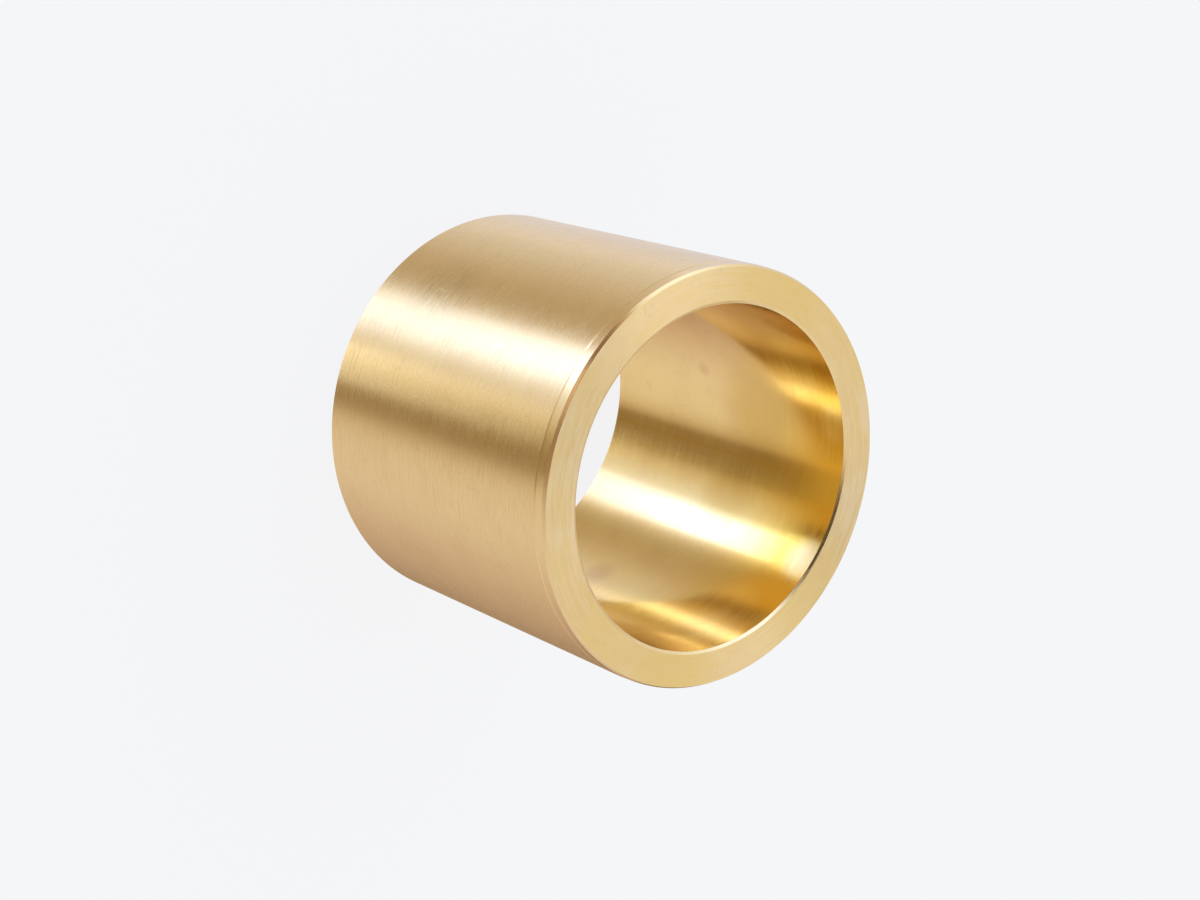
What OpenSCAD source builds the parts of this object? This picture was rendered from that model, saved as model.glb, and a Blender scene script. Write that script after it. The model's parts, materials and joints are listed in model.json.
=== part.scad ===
// Plain sleeve bearing, turned from one piece of bronze.
// It stands on its plain end, with its fitting end up and its bore along +Z.
// The origin is the centre of the plain end. Every size is in millimetres.

/* [Bearing] */
// Diameter of the bore that the shaft runs in
bore_d = 90; // [20:0.5:200]
// Thickness of the wall, from the bore to the outer diameter
wall = 10; // [5:0.5:40]
// Length over both end faces
length = 95; // [20:0.5:300]

/* [Bore ends] */
// Width of the chamfer at each end of the bore, across the end face
bore_chamfer_w = 0.75; // [0.2:0.05:1.5]
// Depth of the chamfer at each end of the bore, along the bore
bore_chamfer_h = 0.5; // [0.2:0.05:1.5]

/* [Fitting end] */
// Length of the reduced land that leads into the housing, up to the foot of its shoulder
land_length = 3.6; // [2:0.1:8]
// How far the land lies below the outer diameter, on the radius
land_drop = 0.15; // [0.05:0.05:0.5]
// Length of the sloped shoulder from the land to the outer diameter
shoulder_length = 0.5; // [0.1:0.1:2]
// Width of the edge break round the fitting end, across the end face
lead_edge_w = 0.5; // [0.1:0.05:1.5]
// Length of the edge break round the fitting end, along the axis
lead_edge_h = 0.9; // [0.1:0.05:1.8]

/* [Plain end] */
// Size of the edge break round the plain end, the same both ways
plain_edge = 0.25; // [0.05:0.05:1]

/* [Hidden] */
bronze = [0.84, 0.71, 0.47];
round_steps = 180;

// Radii of the bore, of the outer cylinder and of the reduced land
bore_r = bore_d / 2;
outer_r = bore_r + wall;
land_r = outer_r - land_drop;

// Radii where the two end faces begin at the bore chamfer and stop at their edge breaks
face_inner_r = bore_r + bore_chamfer_w;
plain_face_r = outer_r - plain_edge;
fitting_face_r = land_r - lead_edge_w;

// Heights along the axis of the shoulder's foot and of its top
shoulder_foot_z = length - land_length;
shoulder_top_z = shoulder_foot_z - shoulder_length;

// Half section of the wall, as it is turned: across the plain end, up the outside
// with its shoulder, land and edge break, across the fitting end and down the bore.
module wall_section() {
    polygon([
        [face_inner_r, 0],
        [plain_face_r, 0],
        [outer_r, plain_edge],
        [outer_r, shoulder_top_z],
        [land_r, shoulder_foot_z],
        [land_r, length - lead_edge_h],
        [fitting_face_r, length],
        [face_inner_r, length],
        [bore_r, length - bore_chamfer_h],
        [bore_r, bore_chamfer_h]
    ]);
}

// The bearing, one revolved ring
module sleeve() {
    color(bronze)
        rotate_extrude($fn = round_steps)
            wall_section();
}

sleeve();
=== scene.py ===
"""The looks of a plain bronze sleeve bearing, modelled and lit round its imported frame.

Lengths are in metres. The bearing stands on its plain end, with its bore along +Z.
"""

import json
import math

import bpy
from mathutils import Matrix, Vector


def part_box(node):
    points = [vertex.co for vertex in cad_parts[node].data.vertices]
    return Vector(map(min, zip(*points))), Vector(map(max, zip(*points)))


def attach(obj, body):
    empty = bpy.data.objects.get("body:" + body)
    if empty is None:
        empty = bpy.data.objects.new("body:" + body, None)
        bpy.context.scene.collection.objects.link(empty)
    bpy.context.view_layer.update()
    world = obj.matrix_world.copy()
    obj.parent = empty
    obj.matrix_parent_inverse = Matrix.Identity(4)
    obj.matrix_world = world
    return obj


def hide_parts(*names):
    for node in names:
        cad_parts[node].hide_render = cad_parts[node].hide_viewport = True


bl_info = {
    "name": "Sleeve bearing",
    "version": (1, 0, 0),
    "blender": (4, 5, 0),
    "location": "View3D > Sidebar > Sleeve",
    "description": "Models a turned bronze sleeve bearing and its studio stage",
    "category": "Object",
}

MM = 0.001

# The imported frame, its box, and the radii that its mounts state
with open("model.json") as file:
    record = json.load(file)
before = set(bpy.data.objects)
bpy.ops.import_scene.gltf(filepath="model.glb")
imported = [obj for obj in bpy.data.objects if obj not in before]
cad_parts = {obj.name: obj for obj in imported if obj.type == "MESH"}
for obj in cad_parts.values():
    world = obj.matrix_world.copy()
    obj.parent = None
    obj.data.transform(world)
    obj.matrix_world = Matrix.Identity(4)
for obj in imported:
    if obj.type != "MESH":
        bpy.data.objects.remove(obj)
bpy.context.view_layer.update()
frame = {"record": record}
MOUNTS = {mount["name"]: mount for mount in frame["record"]["mounts"]}
CAD_BORE_R = MOUNTS["bore"]["dims"]["r_mm"] * MM
CAD_OUTER_R = MOUNTS["housing_seat"]["dims"]["r_mm"] * MM
CAD_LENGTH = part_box("sleeve")[1].z


def length_setting(name, description, default):
    """A length that a user may change."""
    return bpy.props.FloatProperty(
        name=name, description=description, default=default, min=0.0, unit="LENGTH", precision=6
    )


def share_setting(name, description, default):
    """A plain factor that a user may change."""
    return bpy.props.FloatProperty(
        name=name, description=description, default=default, min=0.0, max=1.0, subtype="FACTOR"
    )


def level_setting(name, description, default):
    """A lamp's brightness that a user may change."""
    return bpy.props.FloatProperty(name=name, description=description, default=default, min=0.0)


def colour_setting(name, description, default):
    """A colour that a user may change."""
    return bpy.props.FloatVectorProperty(
        name=name,
        description=description,
        default=default,
        size=3,
        min=0.0,
        max=1.0,
        subtype="COLOR",
    )


class SleeveSizes(bpy.types.PropertyGroup):
    """The turned profile of the bearing."""

    outer_radius: length_setting(
        "Outer radius", "Radius of the wall that seats in the housing", CAD_OUTER_R
    )
    bore_radius: length_setting(
        "Bore radius", "Radius of the wall that the shaft runs on", CAD_BORE_R
    )
    length: length_setting("Length", "Length over both end faces", CAD_LENGTH)
    land_length: length_setting(
        "Land length", "From the fitting end to the shoulder's foot", 3.6 * MM
    )
    land_drop: length_setting("Land drop", "How far the land lies below the outer wall", 0.15 * MM)
    shoulder_length: length_setting(
        "Shoulder length", "Length of the slope up from the land", 0.5 * MM
    )
    lead_edge_width: length_setting(
        "Lead edge width", "Edge break across the fitting end", 0.5 * MM
    )
    lead_edge_length: length_setting("Lead edge length", "Edge break along the axis", 0.9 * MM)
    chamfer_width: length_setting(
        "Bore chamfer width", "Bore chamfer across each end face", 0.75 * MM
    )
    chamfer_depth: length_setting("Bore chamfer depth", "Bore chamfer along the bore", 0.5 * MM)
    plain_edge: length_setting("Plain edge", "Edge break round the plain end", 0.25 * MM)
    edge_round: length_setting("Edge rounding", "Rounding left on every turned edge", 0.04 * MM)


class SleeveFinish(bpy.types.PropertyGroup):
    """The colour and the tool marks of the bronze, and the painted reflection, shade and
    highlights in its bore.
    """

    bronze: colour_setting("Bronze", "Colour of the clean metal", (0.78, 0.585, 0.30))
    bore_bronze: colour_setting(
        "Bore bronze", "Colour of the clean metal in the bore", (0.80, 0.60, 0.28)
    )
    worn: colour_setting("Worn", "Colour down in the scratches", (0.56, 0.38, 0.18))
    # Painted reflection: this deeper gold near the bore's fitting end stands for the bore's own
    # gold mirrored in its wall. The thin line up the bore is drawn in it too.
    warm: colour_setting(
        "Warm", "Colour that the bore leans to near its fitting end", (0.80, 0.50, 0.07)
    )
    # Painted highlight: the bright places in the bore are a lighter gold where bands of light run.
    clean: colour_setting("Clean", "Colour of the bright places in the bore", (1.0, 0.78, 0.28))
    # Painted shade: the soft shades are a darker, deeper gold where the bore mirrors its own
    # metal.
    shade: colour_setting(
        "Shade", "Colour that the soft shades in the bore lean to", (0.62, 0.41, 0.12)
    )
    # On the end faces the paler places are the metal's own tone; in the bore they are painted
    # highlights that whiten the mirrored streaks of light.
    pale: colour_setting(
        "Pale", "Colour of the paler places on the end face and in the bore", (0.82, 0.66, 0.45)
    )
    scuff: colour_setting(
        "Scuff", "Colour of the scuffed place on the outer wall", (0.52, 0.42, 0.22)
    )
    patch: colour_setting(
        "Patch", "Deeper gold of the patches on the end faces", (0.74, 0.53, 0.20)
    )
    speck: colour_setting(
        "Speck", "Colour of the specks and the hair scratches", (0.46, 0.27, 0.12)
    )
    nick: colour_setting("Nick", "Bright metal in the nick", (0.92, 0.72, 0.36))
    stain: colour_setting("Stain", "Colour that the stains lean to", (0.66, 0.41, 0.21))
    wall_smooth: share_setting(
        "Wall smooth", "Roughness of the outer wall between its scratches", 0.24
    )
    wall_scratched: share_setting(
        "Wall scratched", "Roughness of the outer wall's scratches", 0.32
    )
    land_smooth: share_setting("Land smooth", "Roughness of the land between its scratches", 0.20)
    land_scratched: share_setting("Land scratched", "Roughness of the land's scratches", 0.27)
    bore_smooth: share_setting("Bore smooth", "Roughness of the bore between its marks", 0.12)
    bore_scratched: share_setting("Bore scratched", "Roughness of the bore's marks", 0.20)
    face_smooth: share_setting(
        "Face smooth", "Roughness of the end faces between their marks", 0.28
    )
    face_scratched: share_setting("Face scratched", "Roughness of the end faces' marks", 0.42)
    edge_smooth: share_setting("Edge smooth", "Roughness of the chamfers and edge breaks", 0.14)
    edge_scratched: share_setting("Edge scratched", "Roughness of the marks on the edges", 0.3)
    brushing: share_setting(
        "Brushing", "How far the outer wall's marks stretch the shine across them", 0.7
    )
    land_brushing: share_setting("Land brushing", "The same on the land and the edges", 0.3)
    bore_brushing: share_setting("Bore brushing", "The same in the bore", 0.5)
    face_brushing: share_setting("Face brushing", "The same on the end faces", 0.85)


class SleeveStage(bpy.types.PropertyGroup):
    """The floor, the lamps and the lens."""

    backdrop: colour_setting(
        "Backdrop", "Colour of the floor and the background", (0.925, 0.93, 0.945)
    )
    key_level: level_setting("Key level", "Brightness of the key panel's face", 0.8)
    upper_key_level: level_setting(
        "Upper key level", "Brightness of the upper key panel's face", 3.0
    )
    key_colour: colour_setting(
        "Key colour", "Colour of both key panels, cool beside the bronze", (0.38, 0.53, 1.0)
    )
    fill_level: level_setting("Fill level", "Brightness of the low fill panel's face", 2.6)
    fill_colour: colour_setting("Fill colour", "Colour of the low fill panel", (0.84, 0.93, 1.0))
    foot_level: level_setting("Foot level", "Brightness of the small panel under the bore", 9.0)
    foot_colour: colour_setting(
        "Foot colour", "Colour of the small panel under the bore", (0.19, 0.36, 1.0)
    )
    top_level: level_setting("Top level", "Brightness of the top panel's face", 1.0)
    top_colour: colour_setting("Top colour", "Colour of the top panel", (1.0, 1.0, 1.0))
    focal_length: bpy.props.FloatProperty(
        name="Focal length", description="Lens, in millimetres", default=64.38, min=10.0
    )


def feed(tree, socket, value):
    """Links a socket to another one, or sets it to a plain value."""
    if isinstance(value, bpy.types.NodeSocket):
        tree.links.new(value, socket)
    else:
        socket.default_value = value


def calc(tree, operation, *values):
    """A Math node, and its result."""
    made = tree.nodes.new("ShaderNodeMath")
    made.operation = operation
    for socket, value in zip(made.inputs, values):
        feed(tree, socket, value)
    return made.outputs[0]


def remap(tree, value, low, high, to_low=0.0, to_high=1.0):
    """A Map Range node with a smooth slope, and its result."""
    made = tree.nodes.new("ShaderNodeMapRange")
    made.interpolation_type = "SMOOTHSTEP"
    for name, entry in (
        ("Value", value),
        ("From Min", low),
        ("From Max", high),
        ("To Min", to_low),
        ("To Max", to_high),
    ):
        feed(tree, made.inputs[name], entry)
    return made.outputs["Result"]


def fade(tree, value, full, none):
    """1 up to one value, and from there a smooth slope down to 0 at another."""
    return remap(tree, value, full, none, to_low=1.0, to_high=0.0)


def noise(tree, vector, scale=1.0, detail=2.0, roughness=0.5, distortion=0.0):
    """A Noise Texture, and its value."""
    made = tree.nodes.new("ShaderNodeTexNoise")
    feed(tree, made.inputs["Vector"], vector)
    made.inputs["Scale"].default_value = scale
    made.inputs["Detail"].default_value = detail
    made.inputs["Roughness"].default_value = roughness
    made.inputs["Distortion"].default_value = distortion
    return made.outputs[0]


def blend_colours(tree, factor, first, second):
    """A Mix node for colours, whose colour sockets follow those for numbers, and its result."""
    made = tree.nodes.new("ShaderNodeMix")
    made.data_type = "RGBA"
    feed(tree, made.inputs["Factor"], factor)
    feed(tree, made.inputs[6], first)
    feed(tree, made.inputs[7], second)
    return made.outputs[2]


def opaque(colour):
    """A colour with full alpha."""
    return (*colour, 1.0)


def new_group(name, inputs, outputs):
    """A shader node group with named sockets, and its two end nodes."""
    tree = bpy.data.node_groups.new(name, "ShaderNodeTree")
    for label, kind, default in inputs:
        socket = tree.interface.new_socket(name=label, in_out="INPUT", socket_type=kind)
        if default is not None:
            socket.default_value = default
    for label, kind in outputs:
        tree.interface.new_socket(name=label, in_out="OUTPUT", socket_type=kind)
    return tree, tree.nodes.new("NodeGroupInput"), tree.nodes.new("NodeGroupOutput")


def place_group(tree, group, **values):
    """A group placed in a material with its own values."""
    made = tree.nodes.new("ShaderNodeGroup")
    made.node_tree = group
    for name, value in values.items():
        feed(tree, made.inputs[name.replace("_", " ")], value)
    return made.outputs


def marks_group():
    """Tool marks that run round the axis: strokes of one length, one beside another."""
    tree, start, end = new_group(
        "Turning marks",
        [
            ("Position", "NodeSocketVector", None),
            ("Across", "NodeSocketFloat", 0.0),
            ("Radius", "NodeSocketFloat", 0.05),
            ("Stroke Width", "NodeSocketFloat", 0.2 * MM),
            ("Stroke Length", "NodeSocketFloat", 3.0 * MM),
            ("Seed", "NodeSocketFloat", 0.0),
        ],
        [("Marks", "NodeSocketFloat")],
    )
    given = start.outputs
    flat = tree.nodes.new("ShaderNodeVectorMath")
    flat.operation = "MULTIPLY"
    feed(tree, flat.inputs[0], given["Position"])
    flat.inputs[1].default_value = (1.0, 1.0, 0.0)
    outward = tree.nodes.new("ShaderNodeVectorMath")
    outward.operation = "NORMALIZE"
    feed(tree, outward.inputs[0], flat.outputs[0])
    turns = calc(tree, "DIVIDE", given["Radius"], given["Stroke Length"])
    rounded = tree.nodes.new("ShaderNodeVectorMath")
    rounded.operation = "SCALE"
    feed(tree, rounded.inputs[0], outward.outputs[0])
    feed(tree, rounded.inputs["Scale"], turns)
    parts = tree.nodes.new("ShaderNodeSeparateXYZ")
    feed(tree, parts.inputs[0], rounded.outputs[0])
    wander = noise(tree, given["Position"], scale=50.0, detail=0.0)
    drift = calc(tree, "MULTIPLY", wander, 0.4 * MM)
    lines = calc(tree, "DIVIDE", calc(tree, "ADD", given["Across"], drift), given["Stroke Width"])
    stretched = tree.nodes.new("ShaderNodeCombineXYZ")
    feed(tree, stretched.inputs[0], parts.outputs[0])
    feed(tree, stretched.inputs[1], parts.outputs[1])
    feed(tree, stretched.inputs[2], calc(tree, "ADD", lines, given["Seed"]))
    feed(tree, end.inputs["Marks"], noise(tree, stretched.outputs[0], detail=2.0, roughness=0.6))
    return tree


def tarnish_group():
    """What handling leaves on the metal: soft clouds, small specks and broken hair scratches."""
    tree, start, end = new_group(
        "Tarnish",
        [
            ("Position", "NodeSocketVector", None),
            ("Cloud Size", "NodeSocketFloat", 13.0 * MM),
            ("Speck Size", "NodeSocketFloat", 1.2 * MM),
            ("Hair Size", "NodeSocketFloat", 5.0 * MM),
        ],
        [(label, "NodeSocketFloat") for label in ("Clouds", "Specks", "Hairs")],
    )
    given = start.outputs

    def sized(size):
        """The place, counted in steps of one size."""
        scaled = tree.nodes.new("ShaderNodeVectorMath")
        scaled.operation = "SCALE"
        feed(tree, scaled.inputs[0], given["Position"])
        feed(tree, scaled.inputs["Scale"], calc(tree, "DIVIDE", 1.0, size))
        return scaled.outputs[0]

    clouds = noise(tree, sized(given["Cloud Size"]), detail=3.0, roughness=0.55, distortion=0.3)
    feed(tree, end.inputs["Clouds"], remap(tree, clouds, low=0.42, high=0.72))
    specks = noise(tree, sized(given["Speck Size"]), detail=1.0)
    feed(tree, end.inputs["Specks"], remap(tree, specks, low=0.74, high=0.82))
    cells = tree.nodes.new("ShaderNodeTexVoronoi")
    cells.feature = "DISTANCE_TO_EDGE"
    feed(tree, cells.inputs["Vector"], sized(given["Hair Size"]))
    cells.inputs["Scale"].default_value = 1.0
    line = fade(tree, cells.outputs["Distance"], full=0.01, none=0.03)
    gaps = noise(tree, sized(given["Hair Size"]), scale=1.3, detail=0.0)
    broken = remap(tree, gaps, low=0.6, high=0.68)
    feed(tree, end.inputs["Hairs"], calc(tree, "MULTIPLY", line, broken))
    return tree


def spot(tree, place, centre, size):
    """A soft round patch: 1 round its centre, and 0 from its size outwards."""
    apart = tree.nodes.new("ShaderNodeVectorMath")
    apart.operation = "DISTANCE"
    feed(tree, apart.inputs[0], place)
    apart.inputs[1].default_value = centre
    return fade(tree, apart.outputs["Value"], full=size * 0.25, none=size)


def position(tree):
    """The place on the piece, and its X, Y and Z."""
    place = tree.nodes.new("ShaderNodeTexCoord").outputs["Object"]
    parts = tree.nodes.new("ShaderNodeSeparateXYZ")
    feed(tree, parts.inputs[0], place)
    return place, parts.outputs


def from_axis(tree, parts):
    """How far a place lies from the bearing's axis."""
    flat_x = calc(tree, "MULTIPLY", parts[0], parts[0])
    return calc(tree, "SQRT", calc(tree, "MULTIPLY_ADD", parts[1], parts[1], flat_x))


def beside_line(tree, parts, turn):
    """How far a place lies to one side of a line up the wall at a turn."""
    x = calc(tree, "MULTIPLY", parts[0], math.sin(turn))
    return calc(tree, "MULTIPLY_ADD", parts[1], -math.cos(turn), x)


def recolour(material, mask, share, colour):
    """Leans a material's metal to a colour, as far as a mask and a share say."""
    tree = material.node_tree
    socket = tree.nodes["Principled BSDF"].inputs["Base Color"]
    metal = socket.links[0].from_socket
    factor = calc(tree, "MULTIPLY", mask, share)
    feed(tree, socket, blend_colours(tree, factor, metal, opaque(colour)))


def bronze_material(
    name,
    finish,
    groups,
    colour,
    across,
    radius,
    roughness,
    strokes,
    brushing,
    wear=1.0,
    stains=1.0,
):
    """A bronze surface with tool marks that run round the axis.

    across says what counts the marks: "Z" up a wall, "R" out over an end face. roughness is
    that of the smooth and of the scratched metal, and strokes is a mark's width and length.
    """
    marks, tarnish = groups
    material = bpy.data.materials.new(name)
    material.use_nodes = True
    tree = material.node_tree
    shader = tree.nodes["Principled BSDF"]
    place, parts = position(tree)
    line_up = parts[2] if across == "Z" else from_axis(tree, parts)
    width, length = strokes
    fine, short, long = (
        place_group(
            tree,
            marks,
            Position=place,
            Across=line_up,
            Radius=radius,
            Stroke_Width=width * wider,
            Stroke_Length=length * longer,
            Seed=seed,
        )["Marks"]
        for wider, longer, seed in ((1.0, 1.0, 0.0), (2.2, 1.6, 17.0), (3.0, 16.0, 31.0))
    )
    grooves = remap(tree, fine, low=0.4, high=0.62)
    scratches = remap(tree, short, low=0.56, high=0.72)
    lines = remap(tree, long, low=0.3, high=0.7)
    tarnished = place_group(tree, tarnish, Position=place)
    worn, stain, speck = (opaque(c) for c in (finish.worn, finish.stain, finish.speck))
    metal = opaque(colour)
    for mask, share, towards in (
        (tarnished["Clouds"], 0.14 * stains, stain),
        (scratches, 0.22 * wear, worn),
        (lines, 0.07 * wear, worn),
        (tarnished["Specks"], 0.35 * stains, speck),
        (tarnished["Hairs"], 0.12 * stains, speck),
    ):
        metal = blend_colours(tree, calc(tree, "MULTIPLY", mask, share), metal, towards)
    feed(tree, shader.inputs["Base Color"], metal)
    shader.inputs["Metallic"].default_value = 1.0
    smooth, scratched = roughness
    rough = remap(tree, grooves, 0.0, 1.0, to_low=smooth, to_high=scratched)
    scratch_roughness = 0.06 * wear
    rough = calc(tree, "MULTIPLY_ADD", scratches, scratch_roughness, rough)
    feed(tree, shader.inputs["Roughness"], rough)
    quarter_turn = 0.25
    shader.inputs["Anisotropic"].default_value = brushing
    shader.inputs["Anisotropic Rotation"].default_value = quarter_turn
    tangent = tree.nodes.new("ShaderNodeTangent")
    tangent.direction_type = "RADIAL"
    tangent.axis = "Z"
    feed(tree, shader.inputs["Tangent"], tangent.outputs[0])
    groove_depth = 0.001 * MM * wear
    bump = tree.nodes.new("ShaderNodeBump")
    bump.inputs["Distance"].default_value = groove_depth
    feed(tree, bump.inputs["Height"], calc(tree, "ADD", short, long))
    feed(tree, shader.inputs["Normal"], bump.outputs[0])
    return material


def paint_front_reflection_and_highlight(material, sizes, finish):
    """Paints reflected light into the bore's metal: a deeper, warmer gold towards its fitting end,
    where the wall mirrors its own gold, and a painted highlight up one side of the upper bore,
    where a bright band of light runs.
    """
    tree = material.node_tree
    parts = position(tree)[1]
    all_of_it = 1.0
    # Painted reflection: the bore's metal leans to a deeper gold towards its fitting end, as its
    # own gold mirrored in its wall.
    reflected_gold_near_end = remap(tree, parts[2], low=sizes.length / 2, high=sizes.length)
    recolour(material, reflected_gold_near_end, all_of_it, finish.warm)
    # Painted highlight: one side of the upper bore leans to a brighter gold, where the mirrored
    # band of light runs up to the end.
    side = remap(tree, parts[0], low=34.5 * MM, high=40.5 * MM)
    front = remap(tree, parts[2], low=30.0 * MM, high=60.0 * MM)
    recolour(material, calc(tree, "MULTIPLY", side, front), all_of_it, finish.clean)


def stain_and_paint_light_in_bore(material, finish):
    """Painted shade, painted highlights and reddish stains in the bore, and a thin line up its
    wall.
    """
    tree = material.node_tree
    place, parts = position(tree)
    # The centre of each place in metres, its size in millimetres, its share and its colour. The
    # first three are painted shade, a deeper gold where the wall mirrors its own metal. The next
    # three and the last three are painted highlights, which whiten the streaks of light that the
    # wall mirrors. The two between are reddish stains.
    for centre, size, share, colour in (
        ((-0.022, 0.039, 0.062), 20, 0.7, finish.shade),
        ((0.003, 0.045, 0.055), 14, 0.5, finish.shade),
        ((-0.043, 0.012, 0.075), 18, 0.9, finish.shade),
        ((-0.024, 0.038, 0.091), 7, 0.7, finish.clean),
        ((0.031, 0.032, 0.080), 12, 0.5, finish.clean),
        ((-0.036, 0.028, 0.080), 12, 0.5, finish.clean),
        ((0.035, 0.028, 0.033), 7, 0.55, finish.stain),
        ((-0.029, 0.035, 0.040), 3, 0.5, finish.stain),
        ((0.037, 0.025, 0.085), 16, 0.35, finish.pale),
        ((0.042, 0.016, 0.021), 20, 0.6, finish.pale),
        ((0.013, 0.043, 0.092), 9, 0.6, finish.pale),
    ):
        recolour(material, spot(tree, place, centre, size * MM), share, colour)
    aside = calc(tree, "ABSOLUTE", beside_line(tree, parts, math.radians(280.8)))
    line = fade(tree, aside, full=0.1 * MM, none=0.4 * MM)
    far_wall = remap(tree, parts[1], low=0.0, high=20.0 * MM)
    line_share = 0.5
    recolour(material, calc(tree, "MULTIPLY", line, far_wall), line_share, finish.warm)


def smudge_wall(material, finish, marks, radius):
    """A scuffed place near the plain end, with a small bright tick scratched into it."""
    tree = material.node_tree
    place, parts = position(tree)
    turn = math.radians(64.2)
    centre = (-0.0239, -0.0495, 0.0262)
    scuff_size, scuff_share = 16.0 * MM, 0.5
    tick_size, tick_slant, tick_share = 9.0 * MM, 0.3, 0.6
    scuffs = place_group(
        tree,
        marks,
        Position=place,
        Across=parts[2],
        Radius=radius,
        Stroke_Width=0.7 * MM,
        Stroke_Length=5.0 * MM,
        Seed=9.0,
    )["Marks"]
    scuffs = remap(tree, scuffs, low=0.4, high=0.6)
    scuffed = calc(tree, "MULTIPLY", scuffs, spot(tree, place, centre, scuff_size))
    recolour(material, scuffed, scuff_share, finish.scuff)
    along = calc(tree, "ABSOLUTE", calc(tree, "SUBTRACT", parts[2], centre[2]))
    slanted = calc(tree, "MULTIPLY_ADD", along, tick_slant, beside_line(tree, parts, turn))
    tick = fade(tree, calc(tree, "ABSOLUTE", slanted), full=0.15 * MM, none=0.45 * MM)
    tick = calc(tree, "MULTIPLY", tick, fade(tree, along, full=1.6 * MM, none=2.5 * MM))
    tick = calc(tree, "MULTIPLY", tick, spot(tree, place, centre, tick_size))
    recolour(material, tick, tick_share, finish.nick)


def dull_chamfer(material, middle):
    """Roughens the bore's chamfers along one side, where they would mirror the dark inside."""
    tree = material.node_tree
    parts = position(tree)[1]
    inside = calc(tree, "LESS_THAN", from_axis(tree, parts), middle)
    side = fade(tree, parts[1], full=-16.0 * MM, none=-6.0 * MM)
    dulled = calc(tree, "MULTIPLY", side, inside)
    more_roughness = 0.45
    socket = tree.nodes["Principled BSDF"].inputs["Roughness"]
    rough = socket.links[0].from_socket
    feed(tree, socket, calc(tree, "MULTIPLY_ADD", dulled, more_roughness, rough))


def patch_faces(material, sizes, finish, marks, radius):
    """Deeper gold in patches and in streaks round the end faces, and paler places between them."""
    tree = material.node_tree
    place, parts = position(tree)
    # Each place's turn round the fitting end in degrees, its size in millimetres, its share
    # and its colour
    for turn, size, share, colour in (
        (105, 36, 0.55, finish.pale),
        (292, 36, 0.55, finish.pale),
        (188, 20, 0.7, finish.patch),
        (245, 22, 0.5, finish.patch),
        (0, 26, 0.7, finish.patch),
    ):
        way = math.radians(turn)
        centre = (-radius * math.cos(way), -radius * math.sin(way), sizes.length)
        recolour(material, spot(tree, place, centre, size * MM), share, colour)
    patch_share, streak_share = 0.35, 0.5
    patches = noise(tree, place, scale=45.0, detail=2.0)
    recolour(material, remap(tree, patches, low=0.46, high=0.62), patch_share, finish.patch)
    streaks = place_group(
        tree,
        marks,
        Position=place,
        Across=from_axis(tree, parts),
        Radius=radius,
        Stroke_Width=0.9 * MM,
        Stroke_Length=16.0 * MM,
        Seed=5.0,
    )["Marks"]
    recolour(material, remap(tree, streaks, low=0.45, high=0.62), streak_share, finish.patch)


def deselect_everything():
    """Leaves nothing selected, the frame's own nodes included."""
    bpy.ops.object.select_all(action="DESELECT")


def select_faces(mesh, wanted):
    """Selects the faces that pass the test, in face mode, and leaves edit mode on."""
    bpy.ops.object.mode_set(mode="OBJECT")
    for polygon in mesh.polygons:
        polygon.select = wanted(polygon)
    bpy.ops.object.mode_set(mode="EDIT")


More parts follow.
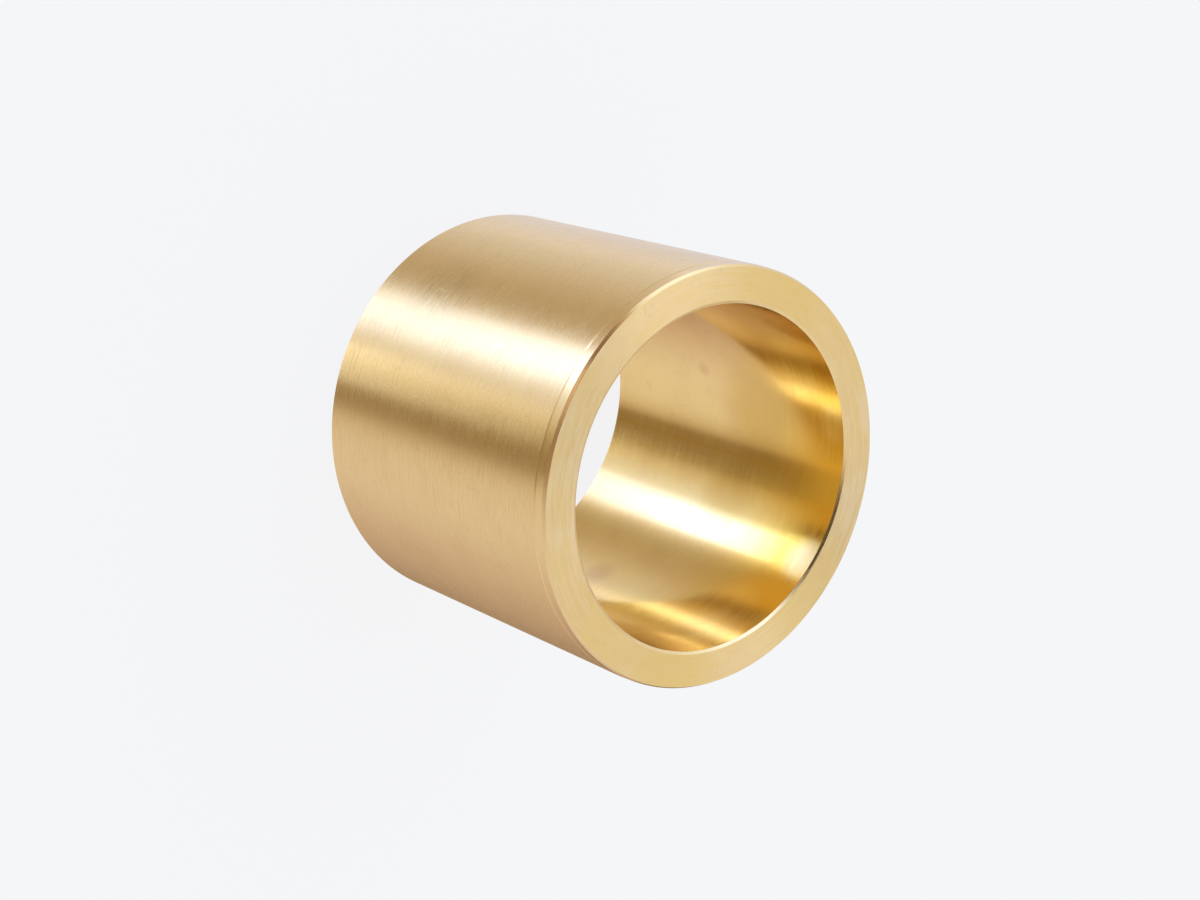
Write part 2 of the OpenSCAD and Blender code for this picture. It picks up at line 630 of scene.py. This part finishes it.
class SLEEVE_OT_body(bpy.types.Operator):
    """Turn the bearing from its profile and give each of its surfaces a finish"""

    bl_idname = "sleeve.body"
    bl_label = "Turn the sleeve"
    bl_options = {"REGISTER", "UNDO"}

    def profile(self, sizes):
        """The turned section, from the bore on the plain end, out, up, in and down again."""
        face_inner_r = sizes.bore_radius + sizes.chamfer_width
        land_r = sizes.outer_radius - sizes.land_drop
        shoulder_foot = sizes.length - sizes.land_length
        return (
            (face_inner_r, 0.0),
            (sizes.outer_radius - sizes.plain_edge, 0.0),
            (sizes.outer_radius, sizes.plain_edge),
            (sizes.outer_radius, shoulder_foot - sizes.shoulder_length),
            (land_r, shoulder_foot),
            (land_r, sizes.length - sizes.lead_edge_length),
            (land_r - sizes.lead_edge_width, sizes.length),
            (face_inner_r, sizes.length),
            (sizes.bore_radius, sizes.length - sizes.chamfer_depth),
            (sizes.bore_radius, sizes.chamfer_depth),
            (face_inner_r, 0.0),
        )

    def execute(self, context):
        sizes = context.scene.sleeve_sizes
        finish = context.scene.sleeve_finish
        profile = self.profile(sizes)
        round_steps = 360
        merge_distance = 0.001 * MM
        least_corner = math.radians(8)
        most_smoothed = math.radians(40)
        deselect_everything()
        bpy.ops.mesh.primitive_circle_add(
            vertices=round_steps, radius=profile[0][0], fill_type="NOTHING", location=(0, 0, 0)
        )
        sleeve = context.active_object
        sleeve.name = "bronze_sleeve"
        sleeve.data.name = "bronze_sleeve"
        bpy.ops.object.mode_set(mode="EDIT")
        bpy.ops.mesh.select_all(action="SELECT")
        for (radius, height), (next_radius, next_height) in zip(profile, profile[1:]):
            bpy.ops.mesh.extrude_region_move(
                TRANSFORM_OT_translate={"value": (0, 0, next_height - height)}
            )
            growth = next_radius / radius
            bpy.ops.transform.resize(value=(growth, growth, 1), center_override=(0, 0, 0))
        bpy.ops.mesh.select_all(action="SELECT")
        bpy.ops.mesh.remove_doubles(threshold=merge_distance)
        bpy.ops.mesh.normals_make_consistent(inside=False)
        bpy.ops.mesh.select_all(action="DESELECT")
        bpy.ops.mesh.select_mode(type="EDGE")
        bpy.ops.mesh.edges_select_sharp(sharpness=least_corner)
        bpy.ops.mesh.bevel(
            offset=sizes.edge_round, offset_type="OFFSET", segments=3, profile=0.5, affect="EDGES"
        )
        bpy.ops.mesh.select_mode(type="FACE")
        bpy.ops.object.mode_set(mode="OBJECT")
        bpy.ops.object.shade_smooth_by_angle(angle=most_smoothed)
        flats_first = sleeve.modifiers.new("Flats first", "WEIGHTED_NORMAL")
        flats_first.weight = 100
        flats_first.keep_sharp = True
        bpy.ops.object.modifier_apply(modifier=flats_first.name)
        self.dress(sleeve, sizes, finish)
        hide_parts("sleeve")
        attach(sleeve, "root")
        return {"FINISHED"}

    def dress(self, sleeve, sizes, finish):
        """Five finishes: the outer wall, the land, the bore, the end faces and the edges."""
        groups = marks_group(), tarnish_group()
        outer, bore = sizes.outer_radius, sizes.bore_radius
        middle = (outer + bore) / 2
        shoulder = sizes.length - sizes.land_length
        tone, inner_tone = finish.bronze, finish.bore_bronze
        made = (
            bronze_material(
                "bronze outer wall",
                finish,
                groups,
                tone,
                across="Z",
                radius=outer,
                roughness=(finish.wall_smooth, finish.wall_scratched),
                strokes=(0.18 * MM, 4.0 * MM),
                brushing=finish.brushing,
            ),
            bronze_material(
                "bronze land",
                finish,
                groups,
                tone,
                across="Z",
                radius=outer,
                roughness=(finish.land_smooth, finish.land_scratched),
                strokes=(0.14 * MM, 6.0 * MM),
                brushing=finish.land_brushing,
            ),
            bronze_material(
                "bronze bore",
                finish,
                groups,
                inner_tone,
                across="Z",
                radius=bore,
                roughness=(finish.bore_smooth, finish.bore_scratched),
                strokes=(0.12 * MM, 12.0 * MM),
                brushing=finish.bore_brushing,
                wear=0.25,
                stains=1.3,
            ),
            bronze_material(
                "bronze end faces",
                finish,
                groups,
                tone,
                across="R",
                radius=middle,
                roughness=(finish.face_smooth, finish.face_scratched),
                strokes=(0.08 * MM, 4.0 * MM),
                brushing=finish.face_brushing,
                wear=0.7,
                stains=1.3,
            ),
            bronze_material(
                "bronze edges",
                finish,
                groups,
                tone,
                across="Z",
                radius=outer,
                roughness=(finish.edge_smooth, finish.edge_scratched),
                strokes=(0.1 * MM, 5.0 * MM),
                brushing=finish.land_brushing,
                wear=0.5,
            ),
        )
        wall, _, bore_wall, end_faces, edges = made
        smudge_wall(wall, finish, groups[0], outer)
        paint_front_reflection_and_highlight(bore_wall, sizes, finish)
        stain_and_paint_light_in_bore(bore_wall, finish)
        patch_faces(end_faces, sizes, finish, groups[0], middle)
        dull_chamfer(edges, middle)
        for material in made:
            sleeve.data.materials.append(material)
        bpy.ops.object.mode_set(mode="EDIT")
        upright_below, level_above = 0.05, 0.995

        def upright(face):
            """Whether a face belongs to a wall, the land or the bore."""
            return abs(face.normal.z) < upright_below

        def outside(face):
            """Whether a face lies outside the middle of the wall's thickness."""
            return face.center.to_2d().length > middle

        surfaces = (
            lambda f: upright(f) and outside(f) and f.center.z < shoulder,
            lambda f: upright(f) and outside(f) and f.center.z > shoulder,
            lambda f: upright(f) and not outside(f),
            lambda f: abs(f.normal.z) > level_above,
            lambda f: upright_below <= abs(f.normal.z) <= level_above,
        )
        for index, wanted in enumerate(surfaces):
            select_faces(sleeve.data, wanted)
            sleeve.active_material_index = index
            bpy.ops.object.material_slot_assign()
        bpy.ops.mesh.select_all(action="DESELECT")
        bpy.ops.object.mode_set(mode="OBJECT")


# The surround's colour and level against the direction, as shares of a turn from -X towards
# -Y: first well below the horizon, which the upright walls mirror, then along it, then above it
LOW_SURROUND = (
    (0.000, (0.79, 0.73, 0.64)),
    (0.030, (0.69, 0.60, 0.48)),
    (0.055, (0.61, 0.51, 0.38)),
    (0.085, (0.57, 0.47, 0.32)),
    (0.105, (0.64, 0.57, 0.45)),
    (0.118, (0.79, 0.72, 0.60)),
    (0.129, (1.10, 1.08, 1.14)),
    (0.137, (1.20, 1.30, 1.60)),
    (0.190, (1.20, 1.32, 1.70)),
    (0.207, (1.06, 1.10, 1.22)),
    (0.222, (0.95, 0.94, 0.94)),
    (0.240, (0.80, 0.73, 0.58)),
    (0.256, (0.67, 0.55, 0.34)),
    (0.270, (0.42, 0.33, 0.15)),
    (0.290, (0.36, 0.26, 0.12)),
    (0.325, (0.34, 0.24, 0.11)),
    (0.337, (0.68, 0.56, 0.42)),
    (0.350, (0.84, 0.75, 0.62)),
    (0.370, (0.94, 0.88, 0.82)),
    (0.440, (0.96, 0.90, 0.87)),
    (0.555, (0.70, 0.55, 0.47)),
    (0.605, (0.58, 0.43, 0.34)),
    (0.655, (0.38, 0.27, 0.19)),
    (0.690, (0.20, 0.13, 0.09)),
    (0.715, (0.78, 0.64, 0.42)),
    (0.785, (0.84, 0.78, 0.60)),
    (0.795, (0.80, 0.86, 1.10)),
    (0.905, (0.86, 0.88, 1.06)),
    (0.915, (1.18, 1.12, 1.15)),
    (0.930, (1.10, 1.05, 1.08)),
    (0.948, (0.84, 0.84, 0.88)),
    (1.000, (0.79, 0.73, 0.64)),
)
MIDDLE_SURROUND = (
    (0.000, (1.50, 1.75, 2.20)),
    (0.055, (1.45, 1.65, 2.00)),
    (0.090, (0.75, 0.60, 0.42)),
    (0.120, (0.30, 0.19, 0.13)),
    (0.155, (0.30, 0.19, 0.13)),
    (0.182, (1.00, 0.80, 0.68)),
    (0.215, (0.90, 0.70, 0.58)),
    (0.255, (0.42, 0.28, 0.20)),
    (0.310, (0.46, 0.34, 0.24)),
    (0.355, (0.84, 0.78, 0.72)),
    (0.420, (0.96, 0.94, 0.98)),
    (0.750, (0.95, 0.94, 0.96)),
    (0.930, (1.05, 1.08, 1.15)),
    (0.965, (1.30, 1.45, 1.70)),
    (1.000, (1.50, 1.75, 2.20)),
)
HIGH_SURROUND = (
    (0.000, (1.50, 1.90, 2.90)),
    (0.025, (1.40, 1.70, 2.40)),
    (0.050, (0.80, 0.70, 0.60)),
    (0.075, (0.36, 0.28, 0.20)),
    (0.110, (0.10, 0.07, 0.04)),
    (0.310, (0.10, 0.07, 0.04)),
    (0.345, (0.40, 0.32, 0.24)),
    (0.380, (0.86, 0.80, 0.70)),
    (0.430, (1.00, 1.00, 1.00)),
    (0.700, (1.00, 1.00, 0.98)),
    (0.770, (1.02, 1.03, 1.05)),
    (0.870, (1.06, 1.08, 1.12)),
    (0.910, (1.20, 1.30, 1.50)),
    (0.950, (1.50, 1.85, 2.80)),
    (1.000, (1.50, 1.90, 2.90)),
)


class SLEEVE_OT_stage(bpy.types.Operator):
    """Lay the floor, hang the surround and the lamps, and set the camera"""

    bl_idname = "sleeve.stage"
    bl_label = "Set the stage"
    bl_options = {"REGISTER", "UNDO"}

    def execute(self, context):
        stage = context.scene.sleeve_stage
        self.floor(context, stage)
        self.surround(context, stage)
        self.lamps(context, stage)
        self.camera(context, stage)
        context.scene.view_settings.view_transform = "Standard"
        return {"FINISHED"}

    def floor(self, context, stage):
        """A pale plain floor that catches the bearing's shadow.

        The metal looks and is lit through it, so that its foot is lit as its rim is.
        """
        floor_size = 12.0
        glow_share = 0.94
        deselect_everything()
        bpy.ops.mesh.primitive_plane_add(size=floor_size, location=(0, 0, 0))
        floor = context.active_object
        floor.name = "floor"
        floor.visible_glossy = False
        floor.visible_shadow = False
        material = bpy.data.materials.new("pale floor")
        material.use_nodes = True
        tree = material.node_tree
        tree.nodes.remove(tree.nodes["Principled BSDF"])
        matt = tree.nodes.new("ShaderNodeBsdfDiffuse")
        matt.inputs["Color"].default_value = opaque(stage.backdrop)
        glow = tree.nodes.new("ShaderNodeEmission")
        glow.inputs["Color"].default_value = opaque(stage.backdrop)
        both = tree.nodes.new("ShaderNodeMixShader")
        seen = tree.nodes.new("ShaderNodeLightPath").outputs["Is Camera Ray"]
        feed(tree, both.inputs[0], calc(tree, "MULTIPLY", seen, glow_share))
        feed(tree, both.inputs[1], matt.outputs[0])
        feed(tree, both.inputs[2], glow.outputs[0])
        feed(tree, tree.nodes["Material Output"].inputs["Surface"], both.outputs[0])
        floor.data.materials.append(material)

    def ring_of_light(self, tree, turn, stops):
        """A colour ramp round the horizon."""
        ramp = tree.nodes.new("ShaderNodeValToRGB")
        feed(tree, ramp.inputs[0], turn)
        elements = ramp.color_ramp.elements
        for element, (turned, colour) in zip(elements, (stops[0], stops[-1])):
            element.position = turned
            element.color = opaque(colour)
        for turned, colour in stops[1:-1]:
            elements.new(turned).color = opaque(colour)
        return ramp.outputs[0]

    def surround(self, context, stage):
        """The studio round the bearing: pale where it is open, dim and warm between its panels.

        The camera sees the plain backdrop in its place.
        """
        world = bpy.data.worlds.new("studio")
        context.scene.world = world
        world.use_nodes = True
        tree = world.node_tree
        way = tree.nodes.new("ShaderNodeTexCoord").outputs["Generated"]
        parts = tree.nodes.new("ShaderNodeSeparateXYZ")
        feed(tree, parts.inputs[0], way)
        angle = calc(tree, "ARCTAN2", parts.outputs[1], parts.outputs[0])
        turn = calc(tree, "ADD", calc(tree, "DIVIDE", angle, 2 * math.pi), 0.5)
        low, middle, high = (
            self.ring_of_light(tree, turn, stops)
            for stops in (LOW_SURROUND, MIDDLE_SURROUND, HIGH_SURROUND)
        )
        height = parts.outputs[2]
        lit = blend_colours(tree, remap(tree, height, low=-0.45, high=-0.2), low, middle)
        lit = blend_colours(tree, remap(tree, height, low=0.2, high=0.45), lit, high)
        seen = tree.nodes.new("ShaderNodeLightPath").outputs["Is Camera Ray"]
        shown = blend_colours(tree, seen, lit, opaque(stage.backdrop))
        feed(tree, tree.nodes["Background"].inputs["Color"], shown)

    def panel(
        self,
        context,
        name,
        turn,
        height,
        away,
        size,
        level,
        colour,
        upright=False,
        around=(0, 0, CAD_LENGTH / 2),
    ):
        """An area lamp that faces the place it stands around, or that stands upright.

        turn runs from -X towards -Y, and height is the angle up from the horizon. The place is
        the middle of the bearing, unless around names another.
        """
        level_way = Vector((-math.cos(turn), -math.sin(turn), 0))
        out = level_way * math.cos(height) + Vector((0, 0, math.sin(height)))
        deselect_everything()
        bpy.ops.object.light_add(type="AREA", location=Vector(around) + away * out)
        lamp = context.active_object
        lamp.name = name
        lamp.rotation_euler = (level_way if upright else out).to_track_quat("Z", "Y").to_euler()
        lamp.data.shape = "RECTANGLE"
        lamp.data.size, lamp.data.size_y = size
        lamp.data.color = colour
        lamp.data.energy = level * math.pi * size[0] * size[1]
        lamp.visible_camera = False
        return lamp

    def lamps(self, context, stage):
        """The key panels stand low, because the walls mirror what is below the horizon.

        The foot panel lights the lower end of the bore, which the upper end mirrors, and leaves
        the floor alone.
        """
        self.panel(
            context,
            "key panel",
            turn=math.radians(61),
            height=math.radians(-50),
            away=1.7,
            size=(0.4, 1.8),
            level=stage.key_level,
            colour=stage.key_colour,
            upright=True,
        )
        self.panel(
            context,
            "upper key panel",
            turn=math.radians(58),
            height=math.radians(-36.3),
            away=1.356,
            size=(0.38, 0.86),
            level=stage.upper_key_level,
            colour=stage.key_colour,
            upright=True,
        )
        self.panel(
            context,
            "low fill panel",
            turn=math.radians(93),
            height=math.radians(-66),
            away=1.2,
            size=(0.25, 0.34),
            level=stage.fill_level,
            colour=stage.fill_colour,
        )
        foot = self.panel(
            context,
            "foot panel",
            turn=math.radians(206),
            height=math.radians(-30),
            away=0.006,
            size=(0.018, 0.012),
            level=stage.foot_level,
            colour=stage.foot_colour,
            around=(-0.024, -0.028, -0.003),
        )
        foot.visible_diffuse = False
        self.panel(
            context,
            "top panel",
            turn=math.radians(-50),
            height=math.radians(60),
            away=1.2,
            size=(0.3, 0.3),
            level=stage.top_level,
            colour=stage.top_colour,
        )

    def camera(self, context, stage):
        """The camera looks down into the bore, rolled so that the bore runs across the picture."""
        aim = Vector((0.0023, 0.0, 0.0486))
        away = 0.5763
        height_angle = math.radians(48.9)
        roll = math.radians(108.69)
        back = Vector((0, -math.cos(height_angle), math.sin(height_angle)))
        tilted = Matrix.Rotation(math.pi / 2 - height_angle, 4, "X")
        turned = tilted @ Matrix.Rotation(roll, 4, "Z")
        deselect_everything()
        bpy.ops.object.camera_add()
        camera = context.active_object
        camera.name = "camera"
        camera.matrix_world = Matrix.Translation(aim + away * back) @ turned
        camera.data.lens = stage.focal_length
        camera.data.dof.use_dof = False
        context.scene.camera = camera


class SLEEVE_PT_sidebar(bpy.types.Panel):
    """The bearing's settings and its makers, in the sidebar"""

    bl_idname = "SLEEVE_PT_sidebar"
    bl_label = "Sleeve bearing"
    bl_space_type = "VIEW_3D"
    bl_region_type = "UI"
    bl_category = "Sleeve"

    def draw(self, context):
        """Lists every setting, and a button for each operator."""
        for settings in (
            context.scene.sleeve_sizes,
            context.scene.sleeve_finish,
            context.scene.sleeve_stage,
        ):
            box = self.layout.box()
            for name in settings.__annotations__:
                box.prop(settings, name)
        self.layout.operator(SLEEVE_OT_body.bl_idname)
        self.layout.operator(SLEEVE_OT_stage.bl_idname)


CLASSES = (
    SleeveSizes,
    SleeveFinish,
    SleeveStage,
    SLEEVE_OT_body,
    SLEEVE_OT_stage,
    SLEEVE_PT_sidebar,
)


def register():
    """Adds the classes, and the settings that a scene keeps."""
    for made in CLASSES:
        bpy.utils.register_class(made)
    bpy.types.Scene.sleeve_sizes = bpy.props.PointerProperty(type=SleeveSizes)
    bpy.types.Scene.sleeve_finish = bpy.props.PointerProperty(type=SleeveFinish)
    bpy.types.Scene.sleeve_stage = bpy.props.PointerProperty(type=SleeveStage)


def unregister():
    """Takes the settings and the classes away again."""
    del bpy.types.Scene.sleeve_stage
    del bpy.types.Scene.sleeve_finish
    del bpy.types.Scene.sleeve_sizes
    for made in reversed(CLASSES):
        bpy.utils.unregister_class(made)


def main():
    """Makes the bearing and its stage."""
    register()
    bpy.ops.sleeve.body()
    bpy.ops.sleeve.stage()


if __name__ == "__main__":
    main()
